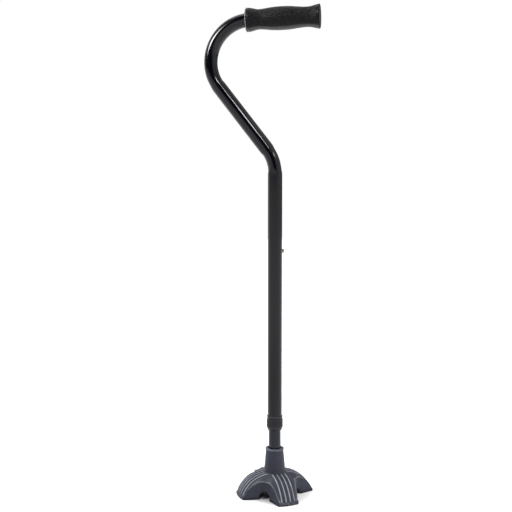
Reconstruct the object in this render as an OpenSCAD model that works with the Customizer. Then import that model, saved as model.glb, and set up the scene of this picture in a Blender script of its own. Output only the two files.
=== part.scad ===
// Offset walking cane with a four-footed rubber tip. Millimetres, +Z up.
// The origin is on the shaft's axis, at the floor. The handle lies in the XZ plane, and the grip's
// closed end points along +X.

/* [Tubes] */
// Outside diameter of the handle tube
tube_d = 22.225; // [22:0.025:22.5]
// Wall thickness of both tubes
wall = 1.2; // [1:0.1:1.3]
// Outside diameter of the shaft tube
shaft_d = 19.05; // [18.8:0.05:19.1]

/* [Handle] */
// Height of the start of the lower bend
bend_z = 498; // [480:1:520]
// Radius of both bends, along the tube's centre line
bend_r = 62; // [56:1:70]
// Lean of the slanting stretch from the vertical, in degrees
lean = 37.8; // [34:0.1:42]
// Length of the straight stretch between the bends
slant_l = 122.6; // [100:0.1:135]
// Free length of the tube beyond the upper bend
tail_l = 100; // [90:1:105]

/* [Grip] */
// Length of the grip
grip_l = 114; // [105:1:120]
// Radius of the flared ends
grip_end_r = 18.2; // [17:0.1:19]
// Radius of the swell in the middle
grip_mid_r = 17.3; // [16:0.1:18]
// Radius of the two waists
grip_waist_r = 14.8; // [14:0.1:15.5]

/* [Height setting] */
// Number of height holes
hole_count = 10; // [6:1:10]
// Distance between height holes
hole_step = 25.4; // [20:0.1:25.4]
// Height of the top hole, where the button stands
button_z = 379.4; // [365:0.1:390]
// Radius of the snap button
button_r = 3.1; // [2.8:0.1:3.4]
// How far the button stands out of the handle tube
button_out = 3.4; // [2.5:0.1:4]

/* [Collar] */
// Height of the top rim of the collar's sleeve
collar_top_z = 122; // [121:0.1:125]
// Outside radius of the lock collar
collar_r = 12.6; // [12.4:0.1:13.5]
// Number of finger flutes round the lock collar
flute_count = 24; // [12:2:32]

/* [Tip] */
// Height of the tip's neck
tip_h = 71; // [66:1:76]
// Reach of the feet from the axis
foot_reach = 60.5; // [56:0.5:66]
// Turn of the feet about the shaft, from a layout square to the handle
tip_turn = -14.5; // [-45:0.5:45]

/* [Hidden] */

$fn = 96;
eps = 0.01;
snug = 0.02;
clear = 0.3;

tube_r = tube_d / 2;
tube_in_r = tube_r - wall;
shaft_r = shaft_d / 2;
shaft_in_r = shaft_r - wall;

// Centre line of the handle, in the XZ plane
slant_start = [-bend_r * (1 - cos(lean)), bend_z + bend_r * sin(lean)];
hook_centre = slant_start + slant_l * [-sin(lean), cos(lean)] + bend_r * [cos(lean), sin(lean)];
grip_z = hook_centre[1] + bend_r;
tail_end_x = hook_centre[0] + tail_l;
bend_swell = 0.06;
bend_lap = 0.4;
mouth_gap = 0.45;

// Heights of the stack at the lower end of the handle tube
rim_h = 2.3;
groove_h = 2.2;
sleeve_floor_h = 1.2;
sleeve_floor_z = collar_top_z - rim_h - groove_h;
tube_end_z = sleeve_floor_z + sleeve_floor_h;
rim_r = collar_r - 0.3;
groove_r = tube_r + 0.6;
thread_r = 10.95;
thread_fit = 0.06;
thread_end_z = sleeve_floor_z - 9.3;
ring_h = 5.5;
ring_top_z = thread_end_z - clear;
ring_top_r = 11;
ring_low_r = 10.1;
ring_fit = 0.07;
ring_gap = 0.2;
ring_slot_w = 1.6;
collar_z = sleeve_floor_z - 0.4;
collar_low_z = collar_top_z - 23;
collar_low_r = 10.5;
collar_cone_z = collar_low_z + 5.4;
collar_lip_h = 1.5;
flute_r = 1.1;
flute_out = 0.75;
flute_h = 7.5;

// Heights inside the tip, from its floor up
socket_z = 22;
washer_h = 1.6;
shaft_low_z = socket_z + washer_h;
shaft_top_z = button_z + 27;
mouth_h = 5;
mouth_r = 10.9;

// Outline of the tip, as radius and height
neck_top_r = 14.5;
neck_low_r = 17.6;
neck_low_z = 34;
crest_out_z = 4.4;
crest_bulge_r = 46.5;
crest_steps = 8;
foot_edge_h = 2.6;
notch_apex = 34.8;
notch_fillet_r = 10;
notch_half_angle = 58.6;
arch_r = 9.2;
arch_z = 2.8;
hollow_r = 24;
hollow_h = 12;
tread_l = 20;
tread_w = 2.2;
tread_h = 1.2;
tread_count = 3;
tread_step = 5.2;
tread_r = 49;

// Button and spring, measured from the shaft's axis
button_tail_x = 5.6;
button_flange_r = 4.2;
button_flange_h = 1;
button_dome_h = 1.3;
spring_t = 0.6;
spring_w = 7;
spring_l = 40;
spring_bend_r = 2.7;
spring_back_x = -6.9;

// A solid turned about Z from a list of radius and height points
module turned(outline) {
    rotate_extrude() polygon(outline);
}

// Turns a shape drawn about Z so that it lies about an axis along +X at the height of the grip
module along_grip() {
    translate([0, 0, grip_z]) rotate([0, 90, 0]) children();
}

// The handle's centre line as a round bar of radius r. The bends are a hair fatter than the straight
// stretches, which run a little way into them, so that every joint is a clean step
module handle_bar(r, low_z, end_x) {
    translate([0, 0, low_z]) cylinder(r = r, h = bend_z - low_z + bend_lap);
    translate([-bend_r, 0, bend_z]) rotate([90, 0, 0]) rotate_extrude(angle = lean)
        translate([bend_r, 0]) circle(r = r + bend_swell);
    translate([slant_start[0], 0, slant_start[1]]) rotate([0, -lean, 0]) translate([0, 0, -bend_lap])
        cylinder(r = r, h = slant_l + 2 * bend_lap);
    translate([hook_centre[0], 0, hook_centre[1]]) rotate([90, 0, 0]) rotate([0, 0, 90])
        rotate_extrude(angle = 90 + lean) translate([bend_r, 0]) circle(r = r + bend_swell);
    translate([hook_centre[0] - bend_lap, 0, grip_z]) rotate([0, 90, 0])
        cylinder(r = r, h = end_x - hook_centre[0] + bend_lap);
}

module handle_tube() {
    hole_r = button_r + clear;
    color([0.05, 0.055, 0.065]) difference() {
        handle_bar(tube_r, tube_end_z, tail_end_x);
        handle_bar(tube_in_r, tube_end_z - eps, tail_end_x + eps);
        for (i = [0 : hole_count - 1])
            translate([0, 0, button_z - i * hole_step]) rotate([0, 90, 0])
                cylinder(r = hole_r, h = tube_d);
    }
}

// Half outline of the grip: distance along it as a share of its length, and radius
function grip_outline() = [
    [0, grip_end_r - 1.2], [0.01, grip_end_r - 0.3], [0.03, grip_end_r - 0.3], [0.075, grip_end_r - 1.1],
    [0.13, grip_waist_r + 0.8], [0.18, grip_waist_r], [0.25, grip_waist_r + 0.6], [0.33, grip_mid_r - 0.8],
    [0.41, grip_mid_r - 0.1], [0.5, grip_mid_r], [0.59, grip_mid_r - 0.3], [0.69, grip_waist_r + 1],
    [0.78, grip_waist_r + 0.1], [0.84, grip_waist_r], [0.89, grip_waist_r + 0.8], [0.945, grip_end_r - 1.1],
    [0.98, grip_end_r], [0.992, grip_end_r - 0.5], [1, grip_end_r - 4]
];

module grip() {
    start_x = tail_end_x + 8 - grip_l;
    pocket_l = tail_end_x + 2 - start_x;
    color([0.09, 0.09, 0.1]) along_grip() translate([0, 0, start_x]) difference() {
        turned(concat([[0, 0]], [for (p = grip_outline()) [p[1], p[0] * grip_l]], [[0, grip_l]]));
        translate([0, 0, -eps]) cylinder(r = tube_r + snug, h = pocket_l);
        translate([0, 0, -eps]) cylinder(r = tube_r + mouth_gap, h = hook_centre[0] - start_x + 1);
    }
}

module tube_end_plug() {
    head_h = 1.6;
    spigot_l = 12;
    color([0.12, 0.12, 0.12]) along_grip() translate([0, 0, tail_end_x]) {
        cylinder(r = tube_r - snug, h = head_h);
        translate([0, 0, -spigot_l]) cylinder(r = tube_in_r - 0.05, h = spigot_l);
    }
}

module collar_sleeve() {
    bore_r = shaft_r + clear;
    cup_r = tube_r + snug;
    color([0.06, 0.06, 0.065]) turned([
        [bore_r, thread_end_z], [thread_r, thread_end_z], [thread_r, sleeve_floor_z],
        [groove_r, sleeve_floor_z], [groove_r, collar_top_z - rim_h], [rim_r, collar_top_z - rim_h + 0.2],
        [rim_r, collar_top_z - 0.5], [rim_r - 0.4, collar_top_z], [cup_r, collar_top_z],
        [cup_r, tube_end_z], [bore_r, tube_end_z]
    ]);
}

module compression_ring() {
    bore_r = shaft_r + ring_fit;
    color([0.75, 0.75, 0.72]) difference() {
        turned([[bore_r, ring_top_z - ring_h], [ring_low_r, ring_top_z - ring_h],
                [ring_top_r, ring_top_z], [bore_r, ring_top_z]]);
        translate([0, -ring_slot_w / 2, ring_top_z - ring_h - eps])
            cube([tube_d, ring_slot_w, ring_h + 2 * eps]);
    }
}

module lock_collar() {
    bore_r = thread_r + thread_fit;
    lip_r = shaft_r + clear;
    lip_z = collar_low_z + collar_lip_h;
    color([0.05, 0.05, 0.055]) difference() {
        turned([
            [lip_r, collar_low_z], [collar_low_r, collar_low_z], [collar_r, collar_cone_z],
            [collar_r, collar_z - 0.5], [collar_r - 0.5, collar_z], [bore_r, collar_z],
            [bore_r, thread_end_z], [ring_top_r + ring_gap, ring_top_z],
            [ring_low_r + ring_gap, ring_top_z - ring_h], [lip_r, lip_z]
        ]);
        for (i = [0 : flute_count - 1])
            rotate([0, 0, i * 360 / flute_count])
                translate([collar_r + flute_out, 0, collar_z - 1.5 - flute_h])
                    cylinder(r = flute_r, h = flute_h, $fn = 24);
    }
}

module shaft_tube() {
    hole_r = button_r + 0.1;
    color([0.05, 0.055, 0.065]) difference() {
        translate([0, 0, shaft_low_z]) cylinder(r = shaft_r, h = shaft_top_z - shaft_low_z);
        translate([0, 0, shaft_low_z - eps])
            cylinder(r = shaft_in_r, h = shaft_top_z - shaft_low_z + 2 * eps);
        translate([0, 0, button_z]) rotate([0, 90, 0]) cylinder(r = hole_r, h = shaft_d);
    }
}

module snap_button() {
    top_x = tube_r + button_out;
    dome_x = top_x - button_dome_h;
    color([0.55, 0.5, 0.46]) translate([0, 0, button_z]) rotate([0, 90, 0]) turned([
        [0, button_tail_x], [button_flange_r, button_tail_x],
        [button_flange_r, button_tail_x + button_flange_h], [button_r, button_tail_x + button_flange_h],
        [button_r, dome_x], [button_r - 0.3, dome_x + 0.6], [button_r - 1, dome_x + 1.05], [0, top_x]
    ]);
}

// Outline of a strip of thickness t along a path in a plane
function strip(path, t) =
    let (last = len(path) - 1)
    let (ways = [for (i = [0 : last]) path[min(i + 1, last)] - path[max(i - 1, 0)]])
    let (sides = [for (w = ways) t / 2 * [-w[1], w[0]] / norm(w)])
    concat([for (i = [0 : last]) path[i] + sides[i]], [for (i = [last : -1 : 0]) path[i] - sides[i]]);

// A bent strip: the front leaf carries the button, and the back leaf bears on the tube's far wall
module button_spring() {
    front_x = button_tail_x - spring_t / 2 - eps;
    bend = [for (a = [0 : -20 : -180]) [spring_bend_r * cos(a), spring_bend_r * sin(a) - spring_l]];
    path = concat([[front_x, 6], [front_x, 0], [front_x, -8]], bend, [[spring_back_x, 0]]);
    color([0.6, 0.6, 0.62]) translate([0, spring_w / 2, button_z]) rotate([90, 0, 0])
        linear_extrude(spring_w) polygon(strip(path, spring_t));
}

module tip_washer() {
    color([0.6, 0.61, 0.63]) translate([0, 0, socket_z]) cylinder(r = shaft_r, h = washer_h);
}

// The tip's top from the foot to the neck, which bulges upwards as part of a large circle
function crest_outline() =
    let (inner = [neck_low_r, neck_low_z])
    let (outer = [foot_reach - 2.5, crest_out_z])
    let (chord = outer - inner)
    let (half = norm(chord) / 2)
    let (normal = [-chord[1], chord[0]] / norm(chord))
    let (centre = (inner + outer) / 2 - sqrt(crest_bulge_r * crest_bulge_r - half * half) * normal)
    let (start = atan2(outer[1] - centre[1], outer[0] - centre[0]))
    let (sweep = 2 * asin(half / crest_bulge_r))
    [for (i = [0 : crest_steps])
        let (a = start + sweep * i / crest_steps)
        centre + crest_bulge_r * [cos(a), sin(a)]];

// The gap between two feet, seen from above, opening along +X with a rounded root
module notch() {
    far = 2 * foot_reach;
    root_x = notch_apex + notch_fillet_r / sin(notch_half_angle);
    touch = [root_x - notch_fillet_r * sin(notch_half_angle), notch_fillet_r * cos(notch_half_angle)];
    translate([root_x, 0]) circle(r = notch_fillet_r);
    polygon([touch, touch + far * [cos(notch_half_angle), sin(notch_half_angle)],
             [touch[0], -touch[1]] + far * [cos(notch_half_angle), -sin(notch_half_angle)],
             [touch[0], -touch[1]]]);
}

module feet() {
    intersection() {
        turned(concat([[0, 0], [foot_reach, 0], [foot_reach, foot_edge_h]], crest_outline(),
                      [[0, neck_low_z]]));
        linear_extrude(neck_low_z + 1) difference() {
            circle(r = foot_reach + 1);
            for (k = [0 : 3]) rotate(90 * k) notch();
        }
    }
}

// A groove under a foot, bent round the shaft's axis, with its middle along +X
module tread_groove(r) {
    angle = tread_l / r * 180 / PI;
    translate([0, 0, -eps]) rotate([0, 0, -angle / 2]) rotate_extrude(angle = angle)
        translate([r - tread_w / 2, 0]) square([tread_w, tread_h]);
}

module quad_tip() {
    color([0.2, 0.21, 0.25]) rotate([0, 0, tip_turn]) difference() {
        union() {
            feet();
            turned([[0, neck_low_z - 4], [neck_low_r, neck_low_z - 4], [neck_low_r, neck_low_z],
                    [neck_top_r - 0.3, tip_h - 8], [neck_top_r - 0.2, tip_h - 3.5], [neck_top_r, tip_h - 2.5],
                    [neck_top_r, tip_h - 1], [neck_top_r - 1, tip_h], [0, tip_h]]);
        }
        translate([0, 0, socket_z]) cylinder(r = shaft_r + snug, h = tip_h);
        turned([[0, tip_h - mouth_h], [shaft_r + snug, tip_h - mouth_h], [mouth_r, tip_h],
                [mouth_r, tip_h + 1], [0, tip_h + 1]]);
        translate([0, 0, -eps]) cylinder(r = hollow_r, h = hollow_h);
        for (k = [0 : 3]) rotate([0, 0, 90 * k]) {
            translate([0, 0, arch_z]) rotate([0, 90, 0]) cylinder(r = arch_r, h = foot_reach);
            translate([0, -arch_r, -eps]) cube([foot_reach, 2 * arch_r, arch_z + eps]);
            rotate([0, 0, 45]) for (j = [0 : tread_count - 1])
                tread_groove(tread_r + (j - (tread_count - 1) / 2) * tread_step);
        }
    }
}

handle_tube();
grip();
tube_end_plug();
collar_sleeve();
compression_ring();
lock_collar();
shaft_tube();
snap_button();
button_spring();
tip_washer();
quad_tip();
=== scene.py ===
"""Looks of an offset walking cane with a four-footed rubber tip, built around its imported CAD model."""

import math

import bmesh
import bpy
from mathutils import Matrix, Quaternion, Vector, noise


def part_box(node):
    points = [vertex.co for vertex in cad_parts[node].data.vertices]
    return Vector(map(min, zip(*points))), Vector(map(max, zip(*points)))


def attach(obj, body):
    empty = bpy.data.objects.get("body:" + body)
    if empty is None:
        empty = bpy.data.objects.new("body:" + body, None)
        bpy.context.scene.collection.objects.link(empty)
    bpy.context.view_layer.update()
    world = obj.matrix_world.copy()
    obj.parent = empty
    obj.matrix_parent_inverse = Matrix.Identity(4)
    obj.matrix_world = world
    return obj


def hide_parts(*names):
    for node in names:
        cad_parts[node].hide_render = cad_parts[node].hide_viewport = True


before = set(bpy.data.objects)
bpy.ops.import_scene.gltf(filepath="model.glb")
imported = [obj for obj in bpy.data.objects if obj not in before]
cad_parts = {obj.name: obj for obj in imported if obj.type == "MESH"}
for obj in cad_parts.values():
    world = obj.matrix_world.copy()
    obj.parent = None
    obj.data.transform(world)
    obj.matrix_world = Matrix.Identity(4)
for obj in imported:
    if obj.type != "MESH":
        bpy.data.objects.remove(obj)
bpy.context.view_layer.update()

# Shapes are worked out in millimetres, and MM turns them into the frame's metres.
MM = 0.001
TURN = 2 * math.pi


def box_mm(node):
    """Lowest and highest corner of a CAD node, in millimetres."""
    low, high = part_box(node)
    return [c / MM for c in low], [c / MM for c in high]


# ---------------------------------------------------------------- small helpers

def smooth(low, high, x):
    """0 below low, 1 above high, and a smooth ramp between them."""
    t = min(1.0, max(0.0, (x - low) / (high - low)))
    return t * t * (3 - 2 * t)


def bell(x, middle, width):
    """1 at the middle, and a smooth fall to nothing a few widths away."""
    return math.exp(-((x - middle) / width) ** 2)


def mix(a, b, t):
    """The value a share t of the way from a to b."""
    return a + (b - a) * t


def rounded(points, radii, steps=4):
    """The outline with its corners rounded by a radius for each point. A radius of 0 keeps a corner."""
    most_of_side = 0.48     # so that two rounded corners never share a stretch of their side
    made = []
    for i, (point, radius) in enumerate(zip(points, radii)):
        if radius <= 0:
            made.append(tuple(point))
            continue
        here = Vector(point)
        before, after = Vector(points[i - 1]) - here, Vector(points[(i + 1) % len(points)]) - here
        cut = min(radius, most_of_side * before.length, most_of_side * after.length)
        start, end = here + before.normalized() * cut, here + after.normalized() * cut
        for j in range(steps + 1):
            t = j / steps
            spot = start.lerp(here, t).lerp(here.lerp(end, t), t)
            made.append((spot.x, spot.y))
    return made


def dense(points, step, closed=False):
    """The outline with extra points, so that none are further apart than step."""
    following = points[1:] + points[:1] if closed else points[1:]
    made = []
    for a, b in zip(points, following):
        parts = max(1, math.ceil(math.dist(a, b) / step))
        made += [(mix(a[0], b[0], i / parts), mix(a[1], b[1], i / parts)) for i in range(parts)]
    return made if closed else made + [tuple(points[-1])]


class Shape:
    """Vertices in millimetres, faces, and for each vertex how worn it is and how much painted light it
    carries: 0 is fresh, 1 is worn bare, which on the grip and the tip also stands for a painted highlight,
    and less than 0 is painted shade, which only the tip's rubber shows."""

    def __init__(self):
        self.verts, self.faces, self.wear = [], [], []

    def add(self, point, wear=0.0):
        """Adds a vertex and gives its number."""
        self.verts.append(tuple(point))
        self.wear.append(wear)
        return len(self.verts) - 1

    def bridge(self, ring_a, ring_b):
        """Joins two closed rings of vertices with four-sided faces."""
        for i in range(len(ring_a)):
            j = (i + 1) % len(ring_a)
            self.faces.append((ring_a[i], ring_a[j], ring_b[j], ring_b[i]))

    def fan(self, ring, point):
        """Fills a ring of vertices with triangles that meet at a point."""
        centre = self.add(point)
        for i in range(len(ring)):
            self.faces.append((ring[i], ring[(i + 1) % len(ring)], centre))

    def build(self, name, body, slot, material, node, sharp=38):
        """Makes the Blender object, which rides on body and stands for the CAD node. Faces that meet at
        more than sharp degrees keep a crisp edge."""
        mesh = bpy.data.meshes.new(name)
        mesh.from_pydata([tuple(c * MM for c in v) for v in self.verts], [], self.faces)
        # This vertex value holds real rubbing. On the grip and the tip it also holds painted highlight,
        # painted reflection and painted shade.
        mesh.attributes.new("wear", "FLOAT", "POINT").data.foreach_set("value", self.wear)
        work = bmesh.new()
        work.from_mesh(mesh)
        bmesh.ops.recalc_face_normals(work, faces=work.faces)
        work.to_mesh(mesh)
        work.free()
        mesh.polygons.foreach_set("use_smooth", [True] * len(mesh.polygons))
        mesh.set_sharp_from_angle(angle=math.radians(sharp))
        obj = bpy.data.objects.new(name, mesh)
        bpy.context.scene.collection.objects.link(obj)
        mesh.materials.append(material)
        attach(obj, body)
        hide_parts(node)
        return obj


def turned(outline, segments, shift, along=tuple):
    """A Shape turned about Z from (radius, height) points. shift(angle, radius, height) gives a new radius
    and the vertex's value for how worn it is and how much painted light it carries, and along moves a
    finished point into its place. An outline that meets the axis is closed there, and any other is a closed
    loop."""
    shape = Shape()
    rings, poles = [], []
    for radius, height in outline:
        if radius < 1e-6:
            poles.append((len(rings), height))
            continue
        ring = []
        for k in range(segments):
            angle = TURN * k / segments
            r, wear = shift(angle, radius, height)
            ring.append(shape.add(along((r * math.cos(angle), r * math.sin(angle), height)), wear))
        rings.append(ring)
    for a, b in zip(rings, rings[1:]):
        shape.bridge(a, b)
    if not poles:
        shape.bridge(rings[-1], rings[0])
    for place, height in poles:
        shape.fan(rings[0] if place == 0 else rings[-1], along((0.0, 0.0, height)))
    return shape


# ---------------------------------------------------------------- materials

# Colours are linear red, green and blue. Noise scales are in features per metre, and bump distances are
# in metres.

class Nodes:
    """Adds nodes to a node tree."""

    def __init__(self, tree):
        self.nodes, self.links = tree.nodes, tree.links

    def put(self, socket, value):
        """Feeds a socket from another node's output, or sets it to a number, a vector or a colour."""
        if isinstance(value, bpy.types.NodeSocket):
            self.links.new(value, socket)
        elif socket.type == "RGBA":
            socket.default_value = (*value, 1.0)
        else:
            socket.default_value = value

    def new(self, kind, inputs=None, **settings):
        node = self.nodes.new(kind)
        for key, value in settings.items():
            setattr(node, key, value)
        for key, value in (inputs or {}).items():
            self.put(node.inputs[key], value)
        return node

    def ramp(self, value, low, high, out_low, out_high, curve="LINEAR"):
        inputs = {"Value": value, "From Min": low, "From Max": high, "To Min": out_low, "To Max": out_high}
        return self.new("ShaderNodeMapRange", inputs, interpolation_type=curve).outputs["Result"]

    def math(self, kind, a, b):
        return self.new("ShaderNodeMath", {0: a, 1: b}, operation=kind).outputs["Value"]


class Paint(Nodes):
    """Builds one procedural material, node by node."""

    def __init__(self, name):
        self.material = bpy.data.materials.new(name)
        self.material.use_nodes = True
        super().__init__(self.material.node_tree)
        self.shader = self.nodes["Principled BSDF"]
        self.place = self.new("ShaderNodeTexCoord").outputs["Object"]

    def stretched(self, scale):
        """The place on the object, scaled apart along X, Y and Z."""
        return self.new("ShaderNodeMapping", {"Vector": self.place, "Scale": scale}).outputs["Vector"]

    def noise(self, scale, detail, rough=0.55, vector=None):
        inputs = {"Vector": vector or self.place, "Scale": scale, "Detail": detail, "Roughness": rough}
        return self.new("ShaderNodeTexNoise", inputs).outputs["Fac"]

    def cells(self, scale):
        return self.new("ShaderNodeTexVoronoi", {"Vector": self.place, "Scale": scale}).outputs["Distance"]

    def blend(self, factor, a, b):
        """Colour a where the factor is 0, and colour b where it is 1."""
        made = self.new("ShaderNodeMix", {0: factor}, data_type="RGBA")
        for socket, value in zip([s for s in made.inputs if s.type == "RGBA"], (a, b)):
            self.put(socket, value)
        return [s for s in made.outputs if s.type == "RGBA"][0]

    def wear(self):
        return self.new("ShaderNodeAttribute", attribute_name="wear").outputs["Fac"]

    def bump(self, height, distance, strength, under=None):
        """A bumped normal, on top of the one under it."""
        inputs = {"Height": height, "Distance": distance, "Strength": strength}
        if under:
            inputs["Normal"] = under
        return self.new("ShaderNodeBump", inputs).outputs["Normal"]

    def finish(self, **values):
        """Feeds the shader's sockets, with _ for each space in their names, and gives the material."""
        for key, value in values.items():
            self.put(self.shader.inputs[key.replace("_", " ")], value)
        return self.material


def paler(colour, times, plus=0.0):
    """The colour made lighter, but no lighter than white."""
    return tuple(min(1.0, c * times + plus) for c in colour)


def gloss_coat(name, colour, base_rough):
    """Black baked coat on aluminium: a slight orange peel, fine handling marks, worn hole edges."""
    bare_metal_colour = (0.30, 0.29, 0.28)
    p = Paint(name)
    cloud = p.noise(38.0, 3.0)
    scuffs = p.noise(70.0, 6.0, 0.7, p.stretched((9.0, 9.0, 0.6)))
    scuff = p.ramp(scuffs, 0.60, 0.74, 0.0, 1.0)
    tone = p.blend(cloud, colour, paler(colour, 1.9))
    tone = p.blend(p.math("MULTIPLY", scuff, 0.16), tone, paler(colour, 4, 0.01))
    chips = p.ramp(p.noise(420.0, 5.0), 0.35, 0.62, 0.25, 1.0)
    tone = p.blend(p.math("MULTIPLY", p.wear(), chips), tone, bare_metal_colour)
    rough = p.math("ADD", p.ramp(cloud, 0.3, 0.7, base_rough, base_rough + 0.05),
                   p.math("MULTIPLY", scuff, 0.04))
    peel = p.bump(p.noise(120.0, 0.0), 0.0000025, 0.1)
    grain = p.bump(p.noise(900.0, 2.0), 0.0000005, 0.1, peel)
    return p.finish(Base_Color=tone, Roughness=rough, Normal=grain, Coat_Weight=0.1,
                    Coat_Roughness=0.05, Specular_IOR_Level=0.28)


def moulded_plastic(name, colour, base_rough):
    """Moulded plastic with a fine spark-eroded grain, and paler worn edges."""
    p = Paint(name)
    cloud = p.noise(120.0, 4.0)
    fine = p.noise(1500.0, 3.0, 0.6)
    tone = p.blend(cloud, colour, paler(colour, 1.5, 0.001))
    tone = p.blend(p.math("MULTIPLY", p.wear(), 0.6), tone, paler(colour, 3.5, 0.05))
    rough = p.math("SUBTRACT", p.ramp(fine, 0.3, 0.7, base_rough - 0.05, base_rough + 0.08),
                   p.math("MULTIPLY", p.wear(), 0.1))
    skin = p.bump(fine, 0.00004, 0.5)
    return p.finish(Base_Color=tone, Roughness=rough, Normal=skin, Specular_IOR_Level=0.24)


def bare_metal(name, colour, dull, base_rough, stretch):
    """Plated or bare steel with fine drawn lines, which stretch lays out, and dull patches."""
    p = Paint(name)
    lines = p.noise(300.0, 5.0, 0.7, p.stretched(stretch))
    patch = p.noise(90.0, 4.0)
    tone = p.blend(p.ramp(patch, 0.35, 0.7, 0.0, 0.8), colour, dull)
    tone = p.blend(p.math("MULTIPLY", p.wear(), 0.5), tone, paler(colour, 1.35))
    rough = p.math("ADD", p.ramp(lines, 0.3, 0.7, base_rough, base_rough + 0.15),
                   p.ramp(patch, 0.4, 0.7, 0.0, 0.12))
    drawn = p.bump(lines, 0.00004, 0.5)
    return p.finish(Base_Color=tone, Roughness=rough, Normal=drawn, Metallic=1.0)


def grip_rubber():
    """Dark foamed rubber: fine pores, a paler worn skin on the high spots, a paler underside that is a
    painted reflection of the floor, and a pale rim that is a painted highlight.
    """
    dark, dull = (0.0006, 0.0006, 0.0008), (0.0032, 0.0032, 0.0040)
    rubbed_and_highlit, dust, pale = (0.012, 0.012, 0.0135), (0.02, 0.02, 0.022), (0.26, 0.26, 0.27)
    p = Paint("grip_rubber")
    cloud = p.noise(210.0, 3.0)
    pores = p.cells(2600.0)
    fine = p.noise(1900.0, 3.0, 0.65)
    tone = p.blend(p.ramp(cloud, 0.38, 0.62, 0.0, 1.0), dark, dull)
    # Paler where worn on the pebbles' high spots, and along the underside as a painted reflection of the
    # floor.
    tone = p.blend(p.math("MULTIPLY", p.wear(), 0.6), tone, rubbed_and_highlit)
    tone = p.blend(p.ramp(fine, 0.62, 0.78, 0.0, 0.3), tone, dust)
    # The pale colour is a painted highlight: the ring at the hook end, plus a little of the underside
    # band's painted reflection.
    tone = p.blend(p.ramp(p.wear(), 0.75, 1.0, 0.0, 1.0), tone, pale)
    rough = p.ramp(cloud, 0.35, 0.65, 0.30, 0.44)
    skin = p.bump(fine, 0.00006, 0.5, p.bump(pores, 0.00005, 0.4))
    return p.finish(Base_Color=tone, Roughness=rough, Normal=skin, Sheen_Weight=0.01,
                    Sheen_Roughness=0.5, Specular_IOR_Level=0.11)


def tip_rubber():
    """Blue-grey moulded rubber: soft blotches and flow marks, rib crests made paler as a painted highlight
    over some real rubbing, and painted shade at the lip and under the neck's band.
    """
    deep, mid = (0.0165, 0.0180, 0.0285), (0.028, 0.030, 0.045)
    blotched, marked = (0.042, 0.045, 0.063), (0.009, 0.010, 0.0155)
    rubbed_and_highlit, painted_shade = (0.36, 0.38, 0.43), (0.0025, 0.0027, 0.004)
    p = Paint("tip_rubber")
    cloud = p.noise(28.0, 5.0)
    blotch = p.noise(95.0, 5.0, 0.65)
    fine = p.noise(1300.0, 3.0, 0.6)
    flow = p.noise(60.0, 3.0, 0.5, p.stretched((1.0, 1.0, 0.25)))
    tone = p.blend(cloud, deep, mid)
    tone = p.blend(p.ramp(blotch, 0.45, 0.75, 0.0, 0.4), tone, blotched)
    tone = p.blend(p.ramp(flow, 0.55, 0.75, 0.0, 0.3), tone, marked)
    # Rib crests, the rim bead, the neck's top edge and a line above the lip at each foot's end are made
    # paler as a painted highlight, over some real rubbing.
    tone = p.blend(p.math("MULTIPLY", p.wear(), p.ramp(blotch, 0.3, 0.6, 0.5, 0.95)), tone, rubbed_and_highlit)
    # Painted shade: below 0 the vertex value darkens the rubber as a contact shadow round the feet's lip
    # and under them, and in the crease under the neck's rolled band.
    tone = p.blend(p.ramp(p.wear(), -1.0, 0.0, 0.9, 0.0), tone, painted_shade)
    rough = p.math("SUBTRACT", p.ramp(blotch, 0.3, 0.7, 0.46, 0.60), p.math("MULTIPLY", p.wear(), 0.08))
    skin = p.bump(fine, 0.00007, 0.5, p.bump(blotch, 0.00025, 0.35))
    return p.finish(Base_Color=tone, Roughness=rough, Normal=skin, Sheen_Weight=0.05,
                    Sheen_Roughness=0.45, Specular_IOR_Level=0.24)


tube_paint = gloss_coat("handle_tube_coat", (0.0006, 0.0008, 0.0018), 0.10)
shaft_paint = gloss_coat("shaft_tube_coat", (0.0008, 0.0018, 0.0062), 0.16)
collar_paint = moulded_plastic("collar_plastic", (0.0032, 0.0036, 0.0058), 0.36)
sleeve_paint = moulded_plastic("sleeve_plastic", (0.0060, 0.0060, 0.0074), 0.34)
ring_paint = moulded_plastic("ring_plastic", (0.62, 0.61, 0.57), 0.38)
plug_paint = moulded_plastic("plug_plastic", (0.022, 0.022, 0.024), 0.45)
button_paint = bare_metal("button_metal", colour=(0.36, 0.32, 0.28), dull=(0.20, 0.17, 0.145),
                          base_rough=0.30, stretch=(1.0, 14.0, 14.0))
spring_paint = bare_metal("spring_steel", colour=(0.52, 0.52, 0.53), dull=(0.36, 0.35, 0.34),
                          base_rough=0.26, stretch=(12.0, 1.0, 12.0))
washer_paint = bare_metal("washer_steel", colour=(0.50, 0.51, 0.52), dull=(0.33, 0.32, 0.31),
                          base_rough=0.32, stretch=(1.0, 12.0, 1.0))
grip_paint = grip_rubber()
rubber_paint = tip_rubber()


# ---------------------------------------------------------------- tubes

tube_low, _ = box_mm("handle_tube")
shaft_low, shaft_high = box_mm("shaft_tube")
button_low, button_high = box_mm("snap_button")

TUBE_R = 22.225 / 2
SHAFT_R = shaft_high[1]
WALL = 1.2

# The handle's centre line, as in the CAD source.
BEND_Z, BEND_R, LEAN, SLANT_L, TAIL_L = 498.0, 62.0, math.radians(37.8), 122.6, 100.0
SLANT_START = (-BEND_R * (1 - math.cos(LEAN)), BEND_Z + BEND_R * math.sin(LEAN))
HOOK = (SLANT_START[0] - SLANT_L * math.sin(LEAN) + BEND_R * math.cos(LEAN),
        SLANT_START[1] + SLANT_L * math.cos(LEAN) + BEND_R * math.sin(LEAN))
GRIP_Z = HOOK[1] + BEND_R
# How much of its radius each bend loses across, and over how long a run at each end.
LOW_BEND_FLAT, LOW_BEND_RUN = 0.085, 7
HOOK_FLAT, HOOK_RUN = 0.068, 9
FLAT_WIDENS = 0.32      # how much of that loss a flattened tube gains sideways

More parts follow.
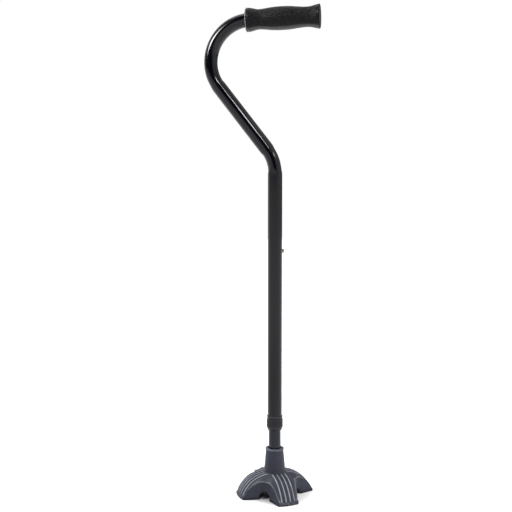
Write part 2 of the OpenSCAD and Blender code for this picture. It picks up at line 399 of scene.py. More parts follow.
BUTTON_Z = (button_low[2] + button_high[2]) / 2
BUTTON_R = 3.1
HANDLE_HOLE_R, SHAFT_HOLE_R = BUTTON_R + 0.3, BUTTON_R + 0.1
HOLE_STEP, HOLE_COUNT = 25.4, 10

PATCH = 12          # divisions along each side of the square patch round a hole
PATCH_HALF = 6.0    # half the side of that patch
REST = 64           # divisions round the rest of the tube
ROW_STEP = 5        # about how far apart the rows between two patches are
EDGE_MARGIN = 0.5   # width of the ring just outside a hole
# A hole's rubbed edge, from outside to inside, as (how far beyond the hole, depth, wear).
HOLE_EDGE = ((EDGE_MARGIN, 0.0, 0.12), (0.2, 0.04, 0.55), (0.05, 0.14, 0.9), (0.0, 0.32, 0.8),
             (0.0, WALL - 0.1, 0.5), (0.1, WALL, 0.3))


class Row:
    """One cross-section of a tube: its centre, the direction of angle 0, and how flattened it is."""

    def __init__(self, x, z, beta=0.0, flat=0.0):
        self.x, self.z, self.beta, self.flat = x, z, beta, flat

    def point(self, radius, depth, angle):
        """The point at an angle round the tube, and at a depth below its outer surface."""
        across = (radius * (1 - self.flat) - depth) * math.cos(angle)
        side = (radius * (1 + FLAT_WIDENS * self.flat) - depth) * math.sin(angle)
        return (self.x + across * math.cos(self.beta), side, self.z + across * math.sin(self.beta))


def climb(start, end):
    """Heights about ROW_STEP apart, from just above start up to end."""
    parts = max(1, round((end - start) / ROW_STEP))
    return [start + (end - start) * i / parts for i in range(1, parts + 1)]


def drill(shape, outer, inner, spots, hole_z, radius, hole_r):
    """Joins the edges of the patches left open in a tube's outer and inner skin through a round hole.
    spots are the patch's edge points, as distances round and along the tube from the hole's middle."""
    turns = [math.atan2(v, s) for s, v in spots]

    def ring(rho, depth, share, wear):
        """Vertices on a circle of radius rho, moved a share of the way to the patch's edge."""
        made = []
        for (s, v), turn in zip(spots, turns):
            along = radius * math.asin(rho * math.cos(turn) / radius)
            s, v = mix(along, s, share), mix(rho * math.sin(turn), v, share)
            made.append(shape.add(Row(0.0, hole_z + v).point(radius, depth, s / radius), wear))
        return made

    rings = [outer]
    rings += [ring(hole_r + EDGE_MARGIN, 0.0, share, 0.0) for share in (0.7, 0.45, 0.22)]
    rings += [ring(hole_r + beyond, depth, 0.0, wear) for beyond, depth, wear in HOLE_EDGE]
    rings += [ring(hole_r + 0.1, WALL, share, 0.0) for share in (0.35, 0.7)]
    rings += [inner]
    for a, b in zip(rings, rings[1:]):
        shape.bridge(a, b)


def tube(low_z, high_z, radius, holes, hole_r, bent_rows=()):
    """A hollow tube with real drilled holes along its +X side, and its bends after the straight part."""
    shape = Shape()
    half = PATCH_HALF / radius
    angles = [-half + 2 * half * i / PATCH for i in range(PATCH + 1)]
    angles += [half + (TURN - 2 * half) * i / REST for i in range(1, REST)]
    count = len(angles)
    heights, patch_rows = [low_z], {}
    for hole in sorted(holes):
        heights += climb(heights[-1], hole - PATCH_HALF)[:-1]
        patch_rows[len(heights)] = hole
        heights += [hole - PATCH_HALF + 2 * PATCH_HALF * i / PATCH for i in range(PATCH + 1)]
    heights += climb(heights[-1], high_z)
    rows = [Row(0.0, z) for z in heights] + list(bent_rows)
    open_faces = {(i, k) for start in patch_rows for i in range(start, start + PATCH) for k in range(PATCH)}
    layers = []
    for depth in (0.0, WALL):
        ids = {}
        for i, row in enumerate(rows):
            in_patch = any(start < i < start + PATCH for start in patch_rows)
            for k, angle in enumerate(angles):
                if not (in_patch and 0 < k < PATCH):
                    ids[i, k] = shape.add(row.point(radius, depth, angle))
        for i in range(len(rows) - 1):
            for k in range(count):
                if (i, k) not in open_faces:
                    n = (k + 1) % count
                    shape.faces.append((ids[i, k], ids[i, n], ids[i + 1, n], ids[i + 1, k]))
        layers.append(ids)
    for i in (0, len(rows) - 1):
        shape.bridge(*[[ids[i, k] for k in range(count)] for ids in layers])
    for start, hole in patch_rows.items():
        walk = ([(start, k) for k in range(PATCH)] + [(start + i, PATCH) for i in range(PATCH)]
                + [(start + PATCH, k) for k in range(PATCH, 0, -1)]
                + [(start + i, 0) for i in range(PATCH, 0, -1)])
        spots = [(angles[k] * radius, heights[i] - hole) for i, k in walk]
        outer, inner = [[ids[key] for key in walk] for ids in layers]
        drill(shape, outer, inner, spots, hole, radius, hole_r)
    return shape


def flattening(most, run, t, sweep):
    """How flat a bend through the angle sweep is, at share t of its length. It is hardly flat at its
    ends, and reaches most a run away from them."""
    return most * smooth(-1, run, min(t, 1 - t) * sweep * BEND_R)


def bend_rows():
    """The handle's rows above the straight stretch: two bends, each a little flattened, as bent tube is."""
    low_steps, slant_steps, hook_steps, tail_steps = 20, 24, 64, 20
    rows = []
    for i in range(1, low_steps + 1):
        t = i / low_steps
        beta = LEAN * t
        rows.append(Row(-BEND_R * (1 - math.cos(beta)), BEND_Z + BEND_R * math.sin(beta), beta,
                        flattening(LOW_BEND_FLAT, LOW_BEND_RUN, t, LEAN)))
    for i in range(1, slant_steps):
        run = SLANT_L * i / slant_steps
        rows.append(Row(SLANT_START[0] - run * math.sin(LEAN), SLANT_START[1] + run * math.cos(LEAN), LEAN))
    sweep = LEAN + math.pi / 2
    for i in range(hook_steps + 1):
        t = i / hook_steps
        beta = LEAN - sweep * t
        rows.append(Row(HOOK[0] - BEND_R * math.cos(beta), HOOK[1] - BEND_R * math.sin(beta), beta,
                        flattening(HOOK_FLAT, HOOK_RUN, t, sweep)))
    for i in range(1, tail_steps + 1):
        rows.append(Row(HOOK[0] + TAIL_L * i / tail_steps, GRIP_Z, -math.pi / 2))
    return rows


handle_holes = [BUTTON_Z - HOLE_STEP * i for i in range(HOLE_COUNT)]
tube(tube_low[2], BEND_Z, TUBE_R, handle_holes, HANDLE_HOLE_R, bend_rows()).build(
    "handle_tube_shell", "handle", "handle_tube", tube_paint, "handle_tube")
tube(shaft_low[2], shaft_high[2], SHAFT_R, [BUTTON_Z], SHAFT_HOLE_R).build(
    "shaft_tube_shell", "base", "shaft_tube", shaft_paint, "shaft_tube")


# ---------------------------------------------------------------- grip

grip_low, grip_high = box_mm("grip")
GRIP_L = grip_high[0] - grip_low[0]
GRIP_END_R = 17.95
# The grip's side, as (share of its length, radius), from the hook to the free end.
GRIP_OUTLINE = [
    (0.0, 16.6), (0.008, 17.7), (0.03, 17.9), (0.075, 17.1), (0.13, 15.6), (0.18, 14.8), (0.25, 15.4),
    (0.33, 16.5), (0.41, 17.2), (0.5, 17.3), (0.59, 17.0), (0.69, 15.8), (0.78, 14.9), (0.84, 14.8),
    (0.89, 15.6), (0.945, 17.1), (0.98, 18.0), (0.99, GRIP_END_R),
]
SKIN_START, SKIN_END = 0.008, 0.985     # shares of the length between which that curve is followed
SKIN_STEPS = 250
SKIN_LEAST_R = 13.0                     # what lies inside this radius is left as it is turned
PEBBLE_SIZE, PEBBLE_H = 2.4, 0.4
SEAM_W, SEAM_H = 0.45, 0.16
RIM_SHARE, RIM_W = 0.012, 0.010         # the ring at the hook end, painted pale as a highlight


def spline(points, x):
    """A smooth curve through (x, y) points, by Catmull-Rom."""
    last = len(points) - 2
    i = next((i for i in range(last) if x <= points[i + 1][0]), last)
    a, b = points[max(i - 1, 0)], points[i]
    c, d = points[i + 1], points[min(i + 2, len(points) - 1)]
    span = c[0] - b[0]
    t = min(1.0, max(0.0, (x - b[0]) / span))
    slope_b = (c[1] - a[1]) / (c[0] - a[0]) * span
    slope_c = (d[1] - b[1]) / (d[0] - b[0]) * span
    return ((2 * t ** 3 - 3 * t ** 2 + 1) * b[1] + (t ** 3 - 2 * t ** 2 + t) * slope_b
            + (3 * t ** 2 - 2 * t ** 3) * c[1] + (t ** 3 - t ** 2) * slope_c)


def pebble(point, size):
    """Height from 0 to 1 of a pebbled skin at a point: round cells with narrow valleys between them."""
    near = noise.voronoi(Vector(point) / size)[0]
    return smooth(0.02, 0.34, near[1] - near[0])


def grip_shift(angle, radius, height):
    """The grip's pebbled skin, which is smoother on top and along the band below, with a moulding seam
    above and below, a groove near each end, and, as painted light, a paler underside band for the floor's
    reflection and a pale ring at the hook end for a highlight."""
    share = height / GRIP_L
    if radius < SKIN_LEAST_R:
        return radius, 0.0
    if share > SKIN_END:
        return radius - 0.03, 0.0
    if share < SKIN_START / 2:
        return radius, 0.5
    down = math.cos(angle)
    band = smooth(0.30, 0.90, down)
    skin = smooth(0.035, 0.06, share) * (1 - smooth(0.94, 0.965, share))
    skin *= 1 - 0.75 * smooth(0.90, 0.96, abs(down))
    skin *= 1 - 0.7 * band
    grain = pebble((height, radius * math.cos(angle), radius * math.sin(angle)), PEBBLE_SIZE)
    seam = SEAM_H * bell((abs(angle - math.pi) - math.pi) * radius, 0.0, SEAM_W)
    seam += SEAM_H * bell((angle - math.pi) * radius, 0.0, SEAM_W)
    groove = 0.8 * bell(height, 0.032 * GRIP_L, 0.8) + 0.35 * bell(height, 0.966 * GRIP_L, 0.5)
    # Worn on the pebbles' high spots. The underside band is a painted reflection of the floor, and the
    # hook-end ring is a painted highlight.
    wear = max(0.7 * grain * skin, 0.79 * band, bell(share, RIM_SHARE, RIM_W))
    return radius - PEBBLE_H * (1 - grain) * skin + seam * (1 - skin) * 0.6 - groove, wear


def along_grip(point):
    """From a shape about +Z to the grip's own axis, which lies along +X."""
    return (grip_low[0] + point[2], point[1], GRIP_Z - point[0])


def grip_outline():
    """From the bottom of the bore out over the hook end, along the side and over the free end."""
    bore = TUBE_R + 0.15
    pocket = (HOOK[0] + TAIL_L + 2.0) - grip_low[0]
    side = []
    for i in range(SKIN_STEPS + 1):
        share = SKIN_START + (SKIN_END - SKIN_START) * i / SKIN_STEPS
        side.append((spline(GRIP_OUTLINE, share), share * GRIP_L))
    mouth = rounded([(bore, pocket), (bore, 1.0), (bore + 0.9, 0.15), (16.2, 0.15), (17.6, 0.5), side[0]],
                    [0.0, 0.4, 0.5, 0.9, 0.6, 0.0])
    end = [(GRIP_END_R, 0.9893), (17.7, 0.9935), (17.0, 0.9965), (15.6, 0.9975), (14.9, 0.9955),
           (14.2, 0.9955), (13.4, 0.998), (9.0, 0.9995), (4.0, 1.0)]
    cap = rounded([side[-1]] + [(r, share * GRIP_L) for r, share in end] + [(0.0, GRIP_L)],
                  [0.0] + [0.5] * len(end) + [0.0], steps=3)
    return [(0.0, pocket)] + dense(mouth[:-1], 3.0) + side + cap[1:]


turned(grip_outline(), 288, grip_shift, along_grip).build(
    "grip_body", "handle", "grip", grip_paint, "grip", sharp=50)


# ---------------------------------------------------------------- sleeve, collar and button

sleeve_low, sleeve_high = box_mm("collar_sleeve")
collar_low, collar_high = box_mm("lock_collar")
SLIDE_GAP = 0.3                                     # room round the shaft tube
SLEEVE_TOP, RIM_H, GROOVE_H = sleeve_high[2], 2.3, 2.2
RIM_R = sleeve_high[1]
SLEEVE_FLOOR = SLEEVE_TOP - RIM_H - GROOVE_H        # underside of the groove below the sleeve's rim
THREAD_R, THREAD_END = 10.95, sleeve_low[2]
THREAD_PITCH, THREAD_H = 2.0, 0.45
COLLAR_R = collar_high[1]
CONE_Z = collar_low[2] + 5.4                        # top of the collar's tapered lower end
FLUTES, FLUTE_H = 24, 0.55


def sleeve_shift(angle, radius, height):
    """The thread under the collar, and four shallow nicks in the rim."""
    wear = 0.0
    if radius > RIM_R - 0.3 and height > SLEEVE_TOP - RIM_H:
        wear = 0.45
        radius -= 0.35 * smooth(0.985, 0.998, math.cos(4 * (angle - 0.5)))
    if abs(radius - THREAD_R) < 0.02 and THREAD_END < height < SLEEVE_FLOOR - 0.8:
        turns = (height - THREAD_END) / THREAD_PITCH - angle / TURN
        radius -= THREAD_H * (0.5 - 0.5 * math.cos(TURN * turns))
    return radius, wear


def sleeve_shape():
    """The threaded sleeve, whose cup holds the handle tube's end and whose bore slides on the shaft."""
    bore, cup, groove = SHAFT_R + SLIDE_GAP, TUBE_R + 0.06, TUBE_R + 0.6
    tube_end = SLEEVE_FLOOR + 1.2
    outline = rounded(
        [(bore, THREAD_END), (THREAD_R, THREAD_END), (THREAD_R, SLEEVE_FLOOR), (groove, SLEEVE_FLOOR),
         (groove, SLEEVE_TOP - RIM_H), (RIM_R, SLEEVE_TOP - RIM_H + 0.2), (RIM_R, SLEEVE_TOP),
         (cup, SLEEVE_TOP), (cup, tube_end), (bore, tube_end)],
        [0.2, 0.4, 0.1, 0.1, 0.3, 0.5, 0.6, 0.25, 0.1, 0.1])
    return turned(dense(outline, 0.35, closed=True), 192, sleeve_shift)


def collar_shift(angle, radius, height):
    """Finger flutes round the upper part of the collar, with worn ribs between them."""
    if radius <= COLLAR_R - 0.9:
        return radius, 0.0
    top, bottom = collar_high[2] - 1.3, CONE_Z + 1.0
    band = smooth(bottom, bottom + 1.2, height) * (1 - smooth(top - 1.0, top, height))
    cut = smooth(0.45, 0.95, 0.5 + 0.5 * math.cos(FLUTES * angle))
    edge = bell(height, collar_high[2], 0.7) + bell(height, CONE_Z, 0.8)
    return radius - FLUTE_H * cut * band, min(1.0, (1 - cut) * band * 0.25 + 0.5 * edge)


def collar_shape():
    """The lock collar, with a cone inside its lower end that squeezes the ring onto the shaft."""
    bore, lip = THREAD_R + 0.06, SHAFT_R + SLIDE_GAP
    low, high = collar_low[2], collar_high[2]
    outline = rounded(
        [(lip, low), (10.5, low), (COLLAR_R, CONE_Z), (COLLAR_R, high), (bore, high),
         (bore, THREAD_END), (11.2, THREAD_END - 0.3), (10.3, THREAD_END - 5.8), (lip, low + 1.5)],
        [0.2, 0.7, 1.6, 0.7, 0.3, 0.2, 0.2, 0.2, 0.2], steps=5)
    return turned(dense(outline, 0.4, closed=True), 384, collar_shift)


def button_shape():
    """The snap button: a domed pin with a flange inside the shaft, and a worn ring round its dome."""
    tail, top = button_low[0], button_high[0]
    flange_r, flange_h = 4.2, 1.0
    outline = rounded(
        [(0.0, tail), (flange_r, tail), (flange_r, tail + flange_h), (BUTTON_R, tail + flange_h),
         (BUTTON_R, top - 1.5), (BUTTON_R - 0.25, top - 0.75), (BUTTON_R - 1.0, top - 0.2), (0.0, top)],
        [0.0, 0.25, 0.2, 0.15, 0.5, 0.6, 0.9, 0.0], steps=5)

    def shift(angle, radius, height):
        return radius, bell(radius, BUTTON_R - 0.35, 0.35) if height > top - 1.2 else 0.0

    return turned(outline, 72, shift, along=lambda v: (v[2], v[1], BUTTON_Z - v[0]))


sleeve_shape().build("collar_sleeve_body", "handle", "collar_plastic", sleeve_paint, "collar_sleeve")
collar_shape().build("lock_collar_body", "collar", "collar_plastic", collar_paint, "lock_collar")
button_shape().build("snap_button_pin", "button", "button_metal", button_paint, "snap_button", sharp=45)


# ---------------------------------------------------------------- rubber tip

_, tip_high = box_mm("quad_tip")
TIP_H = tip_high[2]
TIP_TURN = math.radians(-14.5)
FOOT_R = 60.5
SOCKET_Z, SOCKET_R = 22.0, SHAFT_R + 0.06
MOUTH_R, MOUTH_H = 10.9, 5.0                        # the flared mouth of the socket

NECK_TOP_R, NECK_LOW_R, NECK_LOW_Z = 14.5, 17.6, 34.0
NECK_EDGE = 1.3                                     # rounding of the neck's top edge
NECK_BAND_H = 4.5                                   # height of the rolled band round the neck's top
FLARE_R, FLARE_Z = NECK_LOW_R - 1.2, NECK_LOW_Z + 4.5   # where the neck starts to flare into the feet

TOE_L, TOE_Z = 2.5, 2.6                             # the straight last stretch of a foot's top
CREST_END = (FOOT_R - TOE_L, 4.4)
CREST_BULGE = 46.5                                  # radius of the arc down a foot's top
crest_inner, crest_outer = Vector((NECK_LOW_R, NECK_LOW_Z)), Vector(CREST_END)
crest_chord = crest_outer - crest_inner
crest_normal = Vector((-crest_chord.y, crest_chord.x)).normalized()
crest_centre = ((crest_inner + crest_outer) / 2
                - math.sqrt(CREST_BULGE ** 2 - crest_chord.length_squared / 4) * crest_normal)

# The notch between two feet: where its sides would meet, its fillet, and half its angle.
NOTCH_APEX, NOTCH_FILLET, NOTCH_HALF = 34.8, 10.0, math.radians(58.6)
NOTCH_CENTRE = NOTCH_APEX + NOTCH_FILLET / math.sin(NOTCH_HALF)
FOOT_CORNER = 2.2                                   # rounding of a foot's corners, seen from above

RIBS = (3.4, 10.2)                                  # distances of the ribs from a foot's middle line
RIB_H, RIB_TOP, RIB_BASE = 1.5, 0.55, 1.75          # a rib's height, and half its top and its base
WEB_DEPTH = 1.35                                    # how far the web beside the ribs lies below them
BEAD_TOP, BEAD_BASE = 0.5, 1.5                      # half the top and the base of the bead on the rim
RIM_INSET, RIM_INSET_AT_NOTCH, RIM_INSET_AT_END = 2.3, 1.2, 3.0
RIM_SLANT = 0.56                                    # distance square to a notch's side, per unit of radius

LIP_Z, LIP_Z_AT_END = 3.6, 2.7                      # top of the lip round the foot of the wall
WAIST_PULL = 0.35                                   # how far the wall is hollowed
ARCH_R, ARCH_Z = 9.2, 2.8                           # tunnel between two feet, and its axis's height
HOLLOW_R, HOLLOW_H = 24.0, 12.0                     # recess under the middle of the tip
TREADS, TREAD_H, TREAD_LENGTH = (43.8, 49.0, 54.2), 1.2, 20.0   # grooves under a foot

NECK_ROWS, TOP_ROWS, WALL_ROWS, SOLE_ROWS = 8, 50, 13, 52


def crest(r):
    """Height of the feet's top surface at radius r, before ribs."""
    if r >= CREST_END[0]:
        return mix(CREST_END[1], TOE_Z, (r - CREST_END[0]) / TOE_L)
    return crest_centre.y + math.sqrt(max(0.0, CREST_BULGE ** 2 - (r - crest_centre.x) ** 2))


def soft_min(a, b, k):
    """The lesser of two, with a rounded change from one to the other."""
    h = max(0.0, k - abs(a - b)) / k
    return min(a, b) - h * h * k / 4


def edge_r(phi, inset, end_inset):
    """Radius of the tip's plan outline at phi from a foot's middle, up to 45 degrees to each side. It is
    moved inwards by inset along the notches and by end_inset round the foot's end."""
    least_lean, far_out = 0.05, 1e3
    psi = math.pi / 4 - abs(phi)
    fillet = NOTCH_FILLET + inset
    level = math.sin(NOTCH_HALF) * NOTCH_CENTRE - fillet
    lean = NOTCH_HALF - psi
    side = level / math.sin(lean) if lean > least_lean else far_out
    off = NOTCH_CENTRE * math.sin(psi)
    if off < fillet:
        near = NOTCH_CENTRE * math.cos(psi) - math.sqrt(fillet ** 2 - off ** 2)
        touch = NOTCH_CENTRE - fillet * math.sin(NOTCH_HALF)
        if near * math.cos(psi) < touch or lean <= least_lean:
            side = near
    return soft_min(FOOT_R - end_inset, side, FOOT_CORNER)


def arch_height(phi, r):
    """Height of the tunnel between two feet at a place under the tip, or 0 under a foot."""
    across = r * math.sin(math.pi / 4 - abs(phi))
    if across >= ARCH_R:
        return 0.0
    wall = ARCH_Z * min(1.0, (ARCH_R - across) / 0.25)
    return min(wall + math.sqrt(max(0.0, ARCH_R ** 2 - across ** 2)), HOLLOW_H)


def tread_height(phi, r):
    """Height of the curved grooves under each foot."""
    best = 0.0
    for middle in TREADS:
        half_turn = TREAD_LENGTH / 2 / middle
        ends = 1 - smooth(half_turn - 0.016, half_turn, abs(phi))
        best = max(best, TREAD_H * ends * (1 - smooth(0.75, 1.15, abs(r - middle))))
    return best


def spread(start, end, count):
    """Even steps from start up to, but not including, end."""
    return [start + (end - start) * i / count for i in range(count)]


def tip_columns():
    """(world angle, phi) of each column all the way round, closest together at the feet's corners."""
    degrees = spread(0.0, 13.0, 26) + spread(13.0, 18.94, 18)
    degrees += spread(18.94, 31.96, 21) + spread(31.96, 45.0, 12)
    half = [math.radians(a) for a in degrees]
    columns = []
    for foot in range(4):
        middle = TIP_TURN + math.pi / 4 + foot * math.pi / 2
        for phi in [-math.pi / 4] + [-a for a in reversed(half[1:])] + half:
            columns.append((middle + phi, phi))
    return columns


def rim_inset(phi):
    """How far the bead along the notch lies inside the foot's outline."""
    return mix(RIM_INSET, RIM_INSET_AT_NOTCH, smooth(30, 44, abs(math.degrees(phi))))


def foot_top(phi, share):
    """(radius, height, worn and painted-light value) on a foot's top, from the neck (0) to the rim bead
    (1).
    """
    outer = edge_r(phi, rim_inset(phi), RIM_INSET_AT_END)
    r = mix(NECK_LOW_R, outer, share)
    across = abs(r * math.sin(phi))
    turn = abs(math.degrees(phi))
    start = smooth(NECK_LOW_R, NECK_LOW_R + 2.0, r)
    near_rib = min(abs(across - y) for y in RIBS)
    rib = (1 - smooth(RIB_TOP, RIB_BASE, near_rib)) * start
    # Rib crests: paler as a painted highlight, over some rubbing.
    rubbed_and_highlit = (1 - smooth(0.35, 1.0, near_rib)) * start
    to_rim = (outer - r) * mix(RIM_SLANT, 1.0, smooth(33, 43, turn))
    bead = (1 - smooth(BEAD_TOP, BEAD_BASE, to_rim)) * smooth(11.5, 13.5, turn)
    groove = RIB_H * smooth(NECK_LOW_R - 0.5, NECK_LOW_R + 6.0, r)
    web = WEB_DEPTH * smooth(NECK_LOW_R + 0.5, NECK_LOW_R + 7.0, r)
    depth = mix(groove, web, smooth(12.0, 14.0, across)) * (1 - max(rib, bead))
    dip = 2.0 * smooth(26, 43, turn) * smooth(NECK_LOW_R + 2.0, NOTCH_APEX, r)
    return r, crest(r) - depth - 0.15 - dip, max(0.95 * rubbed_and_highlit, 0.38 * bead ** 2)


def neck_rows(phi):
    """Up the socket, over its mouth and the neck's rolled band, and down the neck to the feet."""
    rows = [(SOCKET_R, SOCKET_Z, 0.0)]
    # The mouth's edge, and below it the neck's rounded top edge, are made paler as a painted highlight.
    for r, depth, wear in ((SOCKET_R, MOUTH_H + 12.0, 0.0), (SOCKET_R, MOUTH_H, 0.0),
                           ((SOCKET_R + MOUTH_R) / 2, MOUTH_H / 2, 0.0),
                           (MOUTH_R - 0.15, 0.6, 0.1), (MOUTH_R + 0.25, 0.12, 0.1),
                           (MOUTH_R + 0.8, 0.0, 0.2), (MOUTH_R + 1.9, 0.0, 0.25)):
        rows.append((r, TIP_H - depth, wear))
    for i in range(6):
        turn = math.pi / 2 * i / 5
        inset, depth = NECK_EDGE * (1 - math.sin(turn)), NECK_EDGE * (1 - math.cos(turn))
        rows.append((NECK_TOP_R - inset, TIP_H - depth, 0.22))
    # Just under the neck's top edge the value lifts a little as a painted highlight. In the crease under
    # the rolled band it falls below 0 as painted shade.
    for inset, depth, wear in ((0.0, 2.4, 0.1), (0.15, 3.1, -0.2), (0.55, 3.7, -0.5),
                               (0.62, NECK_BAND_H, 0.0)):
        rows.append((NECK_TOP_R - inset, TIP_H - depth, wear))
    for i in range(1, NECK_ROWS + 1):
        t = i / NECK_ROWS
        rows.append((mix(NECK_TOP_R - 0.6, FLARE_R, t), mix(TIP_H - NECK_BAND_H, FLARE_Z, t), 0.0))
    foot_r, foot_z, _ = foot_top(phi, 0.0)
    for t in (0.25, 0.5, 0.75):
        rows.append((mix(FLARE_R, foot_r + 0.2, t * t), mix(FLARE_Z, foot_z + 0.1, math.sqrt(t)), 0.0))
    return rows


def wall_rows(phi, top_r, top_z):
    """Over the rim bead, down the hollowed wall of a foot, and round the lip at its bottom, which is
    darkened as a painted contact shadow, with a thin painted highlight above it at each foot's end.
    """
    inset = rim_inset(phi)
    end = 1 - smooth(13.5, 17.5, abs(math.degrees(phi)))
    base_r, lip_r = edge_r(phi, 0.0, 0.0), edge_r(phi, 0.15, 0.1)
    arch = arch_height(phi, lip_r)
    lip_top = mix(LIP_Z, LIP_Z_AT_END, end)
    waist_top = max(top_z - 1.3, lip_top + 0.6)
    # Over the rim bead the value stays a little raised: paler as a painted highlight.
    rows = [(mix(top_r, edge_r(phi, inset - 0.6, 2.3), 0.6), top_z - 0.15, 0.25),
            (edge_r(phi, inset - 0.7, 2.1), top_z - 0.7, 0.1),
            (mix(edge_r(phi, inset - 0.4, 1.9), edge_r(phi, inset + 0.6, 1.4), 0.4),
             mix(top_z, waist_top, 0.9), 0.05)]
    low = max(lip_top, arch)
    for i in range(1, WALL_ROWS + 1):
        t = i / WALL_ROWS
        pull = math.sin(math.pi * t) * WAIST_PULL
        r = mix(edge_r(phi, inset + pull, 1.5), edge_r(phi, 0.9, 0.6), smooth(0.15, 1.0, t))
        rows.append((r, mix(waist_top, low + 0.5, t), 0.0))
    low_edge = max(0.7, arch)
    # The lip rows are painted shade, a contact shadow, except for a thin painted highlight just above the
    # lip at each foot's end.
    return rows + [
        (edge_r(phi, 0.4, 0.25), low + 0.12, mix(-0.5, 0.2, end)),
        (lip_r, max(low - 0.25, arch + 0.02), mix(-0.7, 0.1, end)),
        (base_r - 0.05, mix(low, low_edge, 0.5), -0.8), (base_r - 0.05, low_edge, -0.9),
        (base_r - 0.35, max(0.15, arch), -0.9), (base_r - 0.9, arch_height(phi, base_r - 0.9), -0.3)]


def sole_rows(phi, outer_r):
    """Inwards under the foot, up the side of the recess and in towards its middle."""
    rows = []
    for i in range(1, SOLE_ROWS + 1):
        r = mix(outer_r, HOLLOW_R + 0.4, i / SOLE_ROWS)
        rows.append((r, max(arch_height(phi, r), tread_height(phi, r)), 0.0))
    edge_z = max(arch_height(phi, HOLLOW_R), 0.4)
    rows += [(HOLLOW_R, mix(edge_z, HOLLOW_H, t), 0.0) for t in (0.0, 0.25, 0.5, 0.75, 0.97)]
    return rows + [(r, HOLLOW_H, 0.0) for r in (HOLLOW_R - 0.4, HOLLOW_R * 0.6, HOLLOW_R * 0.25)]


def tip_rows(phi):
    """The (radius, height, worn and painted-light value) points down one column, from the socket's floor
    round to the recess.
    """
    rows = neck_rows(phi) + [foot_top(phi, i / TOP_ROWS) for i in range(TOP_ROWS + 1)]
    rows += wall_rows(phi, rows[-1][0], rows[-1][1])
    return rows + sole_rows(phi, rows[-1][0])


def tip_shape():
    """The rubber tip, as one closed skin: its columns side by side, and a fan over each open end."""
    shape = Shape()
    columns = tip_columns()
    profiles = [tip_rows(phi) for _, phi in columns]
    rings = []
    for i in range(len(profiles[0])):
        ring = []
        for (angle, _), profile in zip(columns, profiles):
            r, z, wear = profile[i]
            ring.append(shape.add((r * math.cos(angle), r * math.sin(angle), z), wear))
        rings.append(ring)
    for a, b in zip(rings, rings[1:]):
        shape.bridge(a, b)
    shape.fan(rings[0], (0.0, 0.0, SOCKET_Z))
    shape.fan(rings[-1], (0.0, 0.0, HOLLOW_H))
    return shape


tip_shape().build("quad_tip_body", "base", "tip_rubber", rubber_paint, "quad_tip", sharp=50)


# ---------------------------------------------------------------- CAD nodes that keep their shape

for node_name, paint in (("tube_end_plug", plug_paint), ("compression_ring", ring_paint),
                         ("button_spring", spring_paint), ("tip_washer", washer_paint)):
    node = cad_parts[node_name]
    node.data.materials.clear()
    node.data.materials.append(paint)


# ---------------------------------------------------------------- floor, light and camera

WHITE = (1.0, 1.0, 1.0)
FRONT_LEFT = (-0.31, -0.95, 0.0)    # where the studio is unlit, as a direction from the cane


def add_object(name, data):
    """Puts a mesh, a light or a camera into the scene."""
    obj = bpy.data.objects.new(name, data)
    bpy.context.scene.collection.objects.link(obj)
    return obj


def floor_paint():
    """Matt pale floor, which glows from just beyond the feet, and more with distance, so that it runs
    into the pale background."""
    p = Paint("floor_paint")
    cloud = p.noise(1.2, 3.0)
    tone = p.blend(cloud, (0.88, 0.88, 0.885), (0.92, 0.92, 0.92))
    reach = p.new("ShaderNodeVectorMath", {0: p.place}, operation="LENGTH").outputs["Value"]
    glow = p.math("ADD", p.ramp(reach, 0.25, 1.7, 0.0, 0.45), p.ramp(reach, 0.045, 0.075, 0.0, 0.24))
    return p.finish(Base_Color=tone, Roughness=p.ramp(cloud, 0.3, 0.7, 0.42, 0.50),
                    Specular_IOR_Level=0.3, Emission_Color=WHITE, Emission_Strength=glow)


def make_floor():
    """A wide disc at the height that the cane stands on."""
    sides, radius = 96, 14.0
    mesh = bpy.data.meshes.new("floor")
    angles = [TURN * i / sides for i in range(sides)]
    rim = [(radius * math.cos(angle), radius * math.sin(angle), 0.0) for angle in angles]
    mesh.from_pydata([(0.0, 0.0, 0.0)] + rim, [], [(0, i + 1, (i + 1) % sides + 1) for i in range(sides)])
    mesh.materials.append(floor_paint())
    add_object("floor", mesh)


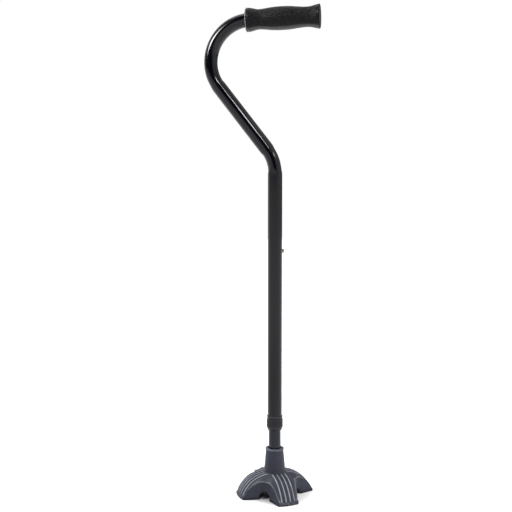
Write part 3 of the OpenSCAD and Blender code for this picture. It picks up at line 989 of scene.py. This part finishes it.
def make_world():
    """A pale studio, dark above the horizon towards the front left, where the room is unlit, and
    dimmer at the back. The background itself stays pale from every side."""
    least = 0.015
    world = bpy.data.worlds.new("studio")
    bpy.context.scene.world = world
    world.use_nodes = True
    w = Nodes(world.node_tree)
    way = w.new("ShaderNodeTexCoord").outputs["Generated"]
    up = w.new("ShaderNodeSeparateXYZ", {0: way}).outputs["Z"]
    ahead = w.new("ShaderNodeVectorMath", {0: way, 1: FRONT_LEFT}, operation="DOT_PRODUCT").outputs["Value"]
    seen = w.new("ShaderNodeLightPath").outputs["Is Camera Ray"]
    front = w.ramp(ahead, 0.05, 0.72, 0.0, 1.0, "SMOOTHSTEP")
    high = w.ramp(up, 0.0, 0.14, 0.0, 1.0, "SMOOTHSTEP")
    back = w.ramp(ahead, -0.85, -0.45, 0.62, 0.0, "SMOOTHSTEP")
    dark = w.math("ADD", w.math("MULTIPLY", front, high), back)
    unseen = w.ramp(seen, 0.0, 1.0, 1.0, 0.0)
    level = w.ramp(w.math("MULTIPLY", dark, unseen), 0.0, 1.0, 1.0, least, "SMOOTHSTEP")
    background = w.nodes["Background"]
    w.put(background.inputs["Color"], WHITE)
    w.put(background.inputs["Strength"], level)


def softbox(name, place, target, size, power, roll=0.0, beam=180.0):
    """A rectangular light aimed at target, rolled about its aim, with its beam narrowed as by a grid."""
    data = bpy.data.lights.new(name, "AREA")
    data.shape = "RECTANGLE"
    data.size, data.size_y = size
    data.energy = power
    data.spread = math.radians(beam)
    obj = add_object(name, data)
    obj.location = place
    aim = (Vector(target) - Vector(place)).to_track_quat("-Z", "Y")
    obj.rotation_euler = (aim @ Quaternion((0.0, 0.0, 1.0), math.radians(roll))).to_euler()


def make_camera():
    """A camera at the photograph's angle: a little to the right of straight on, and a little above."""
    azimuth, pitch = math.radians(10.82), math.radians(2.97)
    distance, sideways, height = 1.0984, -0.02933, 0.4283
    data = bpy.data.cameras.new("camera")
    data.lens, data.sensor_width = 50.0, 36.0
    data.clip_end = 60.0
    obj = add_object("camera", data)
    obj.location = (math.sin(azimuth) * distance + math.cos(azimuth) * sideways,
                    -math.cos(azimuth) * distance + math.sin(azimuth) * sideways, height)
    obj.rotation_euler = (math.pi / 2 - pitch, 0.0, azimuth)
    bpy.context.scene.camera = obj


make_floor()
make_world()
# key_left draws the highlight down the hook, and line_front the thin one down the slant.
softbox("key_left", (-1.48, -1.24, 1.68), (-0.10, 0.0, 0.66), (1.5, 0.60), power=5.6, roll=14.0, beam=34.0)
softbox("line_front", (0.87, -1.71, 2.0), (-0.06, 0.0, 0.60), (0.36, 0.26), power=0.6, beam=40.0)
# back_left and low_right light the tip, and overhead lights the floor and everything from above.
softbox("back_left", (-1.3, 0.9, 1.4), (0.0, 0.0, 0.05), (0.3, 0.3), power=0.26, beam=18.0)
softbox("low_right", (1.5, -0.5, 1.3), (0.0, 0.0, 0.04), (0.5, 0.5), power=0.43, beam=22.0)
softbox("overhead", (0.0, 0.5, 3.2), (0.0, 0.0, 0.0), (3.0, 2.4), power=21.0)
bpy.context.scene.view_settings.view_transform = "Standard"
make_camera()
